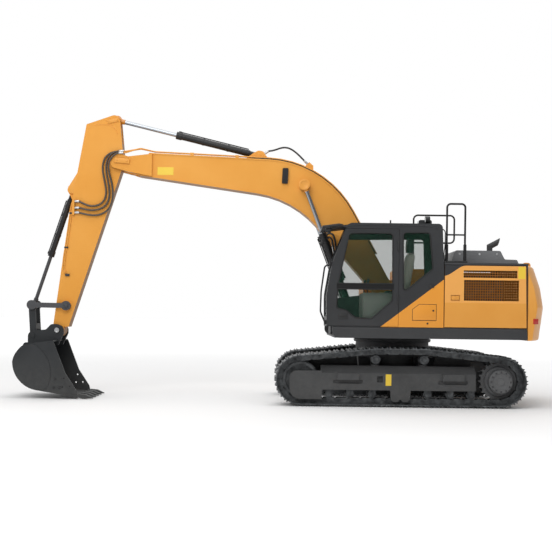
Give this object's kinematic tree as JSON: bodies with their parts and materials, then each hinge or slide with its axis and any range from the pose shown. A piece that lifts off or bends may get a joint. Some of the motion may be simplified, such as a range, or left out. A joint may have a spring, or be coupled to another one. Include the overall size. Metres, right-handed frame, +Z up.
{
  "type": "crawler excavator",
  "caption": "Tracked hydraulic excavator with cab, curved boom, arm and toothed bucket, parked with the bucket just off the ground.",
  "frame": {"origin": "middle of the parked outline's footprint, on the ground", "axes": "+X from the bucket to the counterweight, +Y to the machine's right, +Z up"},
  "size_m": [8.7797, 2.59, 4.774],
  "materials": {
    "chassis": "satin dark grey paint",
    "track_steel": "worn dark steel",
    "orange_paint": "gloss orange-yellow paint",
    "grey_paint": "satin grey paint",
    "black_paint": "satin black paint",
    "rod_chrome": "hard chrome",
    "steel": "heat-dulled steel",
    "engine_iron": "as cast",
    "glass": "tinted safety glass",
    "hose_rubber": "black hydraulic hose",
    "chair_cloth": "black cloth"
  },
  "bodies": {
    "undercarriage": {"car_body": "chassis", "track_frame_left": "chassis", "track_frame_right": "chassis", "track_left": "track_steel", "track_right": "track_steel", "sprocket_left": "track_steel", "sprocket_right": "track_steel", "idler_left": "track_steel", "idler_right": "track_steel", "rollers_left": "track_steel", "rollers_right": "track_steel"},
    "upper": {"slew_ring": "chassis", "swing_frame": "chassis", "skirts": "chassis", "counterweight": "orange_paint", "bay_frame": "chassis", "engine_block": "engine_iron", "fuel_tank": "orange_paint", "oil_tank": "orange_paint", "tool_box": "orange_paint", "handrails": "black_paint", "cab_frame": "grey_paint", "cab_glass": "glass", "operator_chair": "chair_cloth"},
    "cab_door": {"cab_door": "grey_paint", "door_glass": "glass"},
    "left_door": {"left_door": "orange_paint"},
    "right_door": {"right_door": "orange_paint"},
    "hood": {"engine_hood": "grey_paint", "exhaust": "steel"},
    "boom": {"boom": "orange_paint", "boom_lines": "orange_paint", "boom_lamp": "black_paint", "hoses": "hose_rubber"},
    "boom_barrels": {"boom_barrels": "black_paint"},
    "boom_rods": {"boom_rods": "rod_chrome"},
    "arm_barrel": {"arm_barrel": "black_paint"},
    "arm_rod": {"arm_rod": "rod_chrome"},
    "arm": {"arm": "orange_paint"},
    "bucket_barrel": {"bucket_barrel": "black_paint"},
    "bucket_rod": {"bucket_rod": "black_paint"},
    "guide_links": {"guide_links": "grey_paint"},
    "bucket_link": {"bucket_link": "grey_paint"},
    "bucket": {"bucket": "grey_paint", "bucket_teeth": "grey_paint"}
  },
  "joints": [
    {"name": "slew", "type": "hinge", "parent": "undercarriage", "child": "upper", "pos_m": [1.92, 0, 1], "axis": [0, 0, 1], "continuous": true},
    {"name": "boom_lift", "type": "hinge", "parent": "upper", "child": "boom", "pos_m": [1.86, 0, 1.72], "axis": [0, 1, 0], "range_deg": [-66, 34]},
    {"name": "arm_crowd", "type": "hinge", "parent": "boom", "child": "arm", "pos_m": [-2.733, 0, 3.991], "axis": [0, -1, 0], "range_deg": [-65, 45], "deforming": ["hoses"]},
    {"name": "bucket_curl", "type": "hinge", "parent": "arm", "child": "bucket", "pos_m": [-3.741, 0, 1.124], "axis": [0, -1, 0], "range_deg": [-85, 75]},
    {"name": "cab_door_hinge", "type": "hinge", "parent": "upper", "child": "cab_door", "pos_m": [1.862, -1.262, 2], "axis": [0, 0, 1], "range_deg": [0, 170]},
    {"name": "left_door_hinge", "type": "hinge", "parent": "upper", "child": "left_door", "pos_m": [3.886, -1.25, 1.75], "axis": [0, 0, 1], "range_deg": [0, 110]},
    {"name": "right_door_hinge", "type": "hinge", "parent": "upper", "child": "right_door", "pos_m": [3.886, 1.25, 1.75], "axis": [0, 0, -1], "range_deg": [0, 110]},
    {"name": "hood_hinge", "type": "hinge", "parent": "upper", "child": "hood", "pos_m": [2.75, 0, 2.285], "axis": [0, -1, 0], "range_deg": [0, 55]},
    {"name": "boom_barrel_swing", "type": "hinge", "parent": "upper", "child": "boom_barrels", "pos_m": [1.27, 0, 1.32], "axis": [0, 1, 0], "range_deg": [-68, 35]},
    {"name": "boom_rod_slide", "type": "slide", "parent": "boom_barrels", "child": "boom_rods", "axis": [-0.3591, 0, 0.9333], "range_m": [-0.74, 0.38]},
    {"name": "arm_barrel_swing", "type": "hinge", "parent": "boom", "child": "arm_barrel", "pos_m": [-0.389, 0, 4.129], "axis": [0, -1, 0], "range_deg": [-3, 2.5]},
    {"name": "arm_rod_slide", "type": "slide", "parent": "arm_barrel", "child": "arm_rod", "axis": [-0.973, 0, 0.2308], "range_m": [-0.71, 0.5]},
    {"name": "bucket_barrel_swing", "type": "hinge", "parent": "arm", "child": "bucket_barrel", "pos_m": [-3.536, 0, 3.491], "axis": [0, -1, 0], "range_deg": [-3, 3]},
    {"name": "bucket_rod_slide", "type": "slide", "parent": "bucket_barrel", "child": "bucket_rod", "axis": [-0.3136, 0, -0.9496], "range_m": [-0.5, 0.45]},
    {"name": "guide_swing", "type": "hinge", "parent": "arm", "child": "guide_links", "pos_m": [-3.6, 0, 1.537], "axis": [0, -1, 0], "range_deg": [-56, 50]},
    {"name": "link_swing", "type": "hinge", "parent": "bucket", "child": "bucket_link", "pos_m": [-4.147, 0, 1.028], "axis": [0, -1, 0], "range_deg": [-62, 70]}
  ],
  "couplings": [
    {"joint": "boom_barrel_swing", "follows": "boom_lift", "ratio": 1.02},
    {"joint": "boom_rod_slide", "follows": "boom_lift", "m_per_rad": 0.63},
    {"joint": "arm_barrel_swing", "follows": "arm_crowd", "ratio": 0.04},
    {"joint": "arm_rod_slide", "follows": "arm_crowd", "m_per_rad": 0.62},
    {"joint": "bucket_barrel_swing", "follows": "bucket_curl", "ratio": 0.03},
    {"joint": "bucket_rod_slide", "follows": "bucket_curl", "m_per_rad": 0.33},
    {"joint": "guide_swing", "follows": "bucket_curl", "ratio": 0.65},
    {"joint": "link_swing", "follows": "bucket_curl", "ratio": -0.815}
  ]
}
